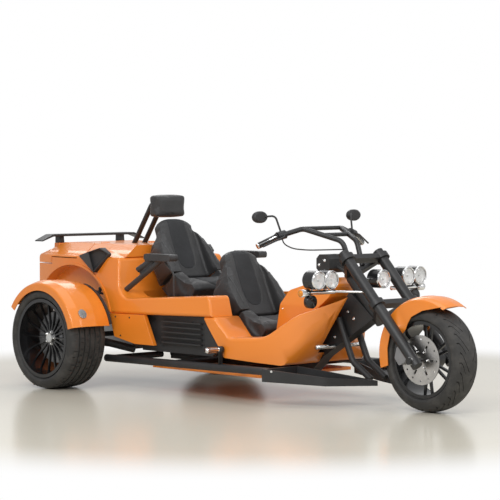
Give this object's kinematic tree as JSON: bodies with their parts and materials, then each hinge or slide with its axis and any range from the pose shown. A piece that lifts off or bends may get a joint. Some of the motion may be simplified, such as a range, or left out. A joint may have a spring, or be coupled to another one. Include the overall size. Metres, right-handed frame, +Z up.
{
  "type": "motor trike",
  "caption": "Three-wheeled motor trike with a raked fork, wide rear wheels, tandem bucket seats, an opening rear load space and a rear spoiler.",
  "frame": {"origin": "on the ground under the middle of the trike's length and width", "axes": "+X forward to the front wheel, +Y to the rider's left, +Z up"},
  "size_m": [3.543, 1.78, 1.251],
  "materials": {
    "body_paint": "glossy orange metallic paint under clear coat",
    "satin_black": "satin black powder coat",
    "frame_black": "black powder coat",
    "dark_plastic": "matt black moulded plastic",
    "grip_rubber": "ribbed black rubber",
    "bright_chrome": "polished chrome",
    "clear_glass": "clear fluted glass",
    "tyre_rubber": "black road tyre",
    "rim_black": "gloss black rim",
    "disc_steel": "turned steel",
    "engine_alloy": "cast alloy",
    "red_lens": "red lens",
    "reflector_silver": "silver prismatic reflector",
    "cable_rubber": "smooth black cable sheath",
    "seat_leather": "black stitched leather"
  },
  "bodies": {
    "chassis": {"air_scoops": "dark_plastic", "armrests": "seat_leather", "belly_pan": "body_paint", "down_tubes": "frame_black", "driver_backrest": "seat_leather", "driver_cushion": "seat_leather", "engine_block": "engine_alloy", "exhaust": "disc_steel", "fender_reflectors": "reflector_silver", "flank_intakes": "dark_plastic", "flank_panels": "body_paint", "foot_pegs": "bright_chrome", "footboards": "frame_black", "frame_rails": "frame_black", "frame_spine": "frame_black", "headrest_hoop": "satin_black", "nose_body": "body_paint", "passenger_backrest": "seat_leather", "passenger_cushion": "seat_leather", "passenger_headrest": "seat_leather", "rear_body": "body_paint", "rear_fenders": "body_paint", "rear_suspension": "frame_black", "seat_pedestals": "frame_black", "tail_lamps": "red_lens", "tank_cover": "body_paint"},
    "steering": {"fork_legs": "satin_black", "fork_yokes": "satin_black", "handlebar": "satin_black", "hand_grips": "grip_rubber", "hand_controls": "satin_black", "mirrors": "dark_plastic", "dash_pod": "dark_plastic", "lamp_housings": "satin_black", "lamp_glasses": "clear_glass", "lamp_bars": "bright_chrome", "signals_and_horns": "dark_plastic", "front_fender": "body_paint", "brake_caliper": "satin_black", "control_cable": "cable_rubber"},
    "front_wheel": {"front_tyre": "tyre_rubber", "front_rim": "rim_black", "front_disc": "disc_steel"},
    "rear_wheel_right": {"rear_tyre_right": "tyre_rubber", "rear_rim_right": "rim_black"},
    "rear_wheel_left": {"rear_tyre_left": "tyre_rubber", "rear_rim_left": "rim_black"},
    "trunk_lid": {"trunk_lid": "body_paint", "spoiler": "satin_black"}
  },
  "joints": [
    {"name": "steering_turn", "type": "hinge", "parent": "chassis", "child": "steering", "pos_m": [1.0527, 0, 0.5167], "axis": [-0.682, 0, 0.7314], "range_deg": [-28, 28]},
    {"name": "front_wheel_spin", "type": "hinge", "parent": "steering", "child": "front_wheel", "pos_m": [1.4615, 0, 0.31], "axis": [0, 1, 0], "continuous": true},
    {"name": "rear_wheel_right_spin", "type": "hinge", "parent": "chassis", "child": "rear_wheel_right", "pos_m": [-1.1315, -0.731, 0.329], "axis": [0, 1, 0], "continuous": true},
    {"name": "rear_wheel_left_spin", "type": "hinge", "parent": "chassis", "child": "rear_wheel_left", "pos_m": [-1.1315, 0.731, 0.329], "axis": [0, 1, 0], "continuous": true},
    {"name": "trunk_lid_hinge", "type": "hinge", "parent": "chassis", "child": "trunk_lid", "pos_m": [-1.2785, 0, 0.926], "axis": [0, 1, 0], "range_deg": [0, 55]}
  ]
}
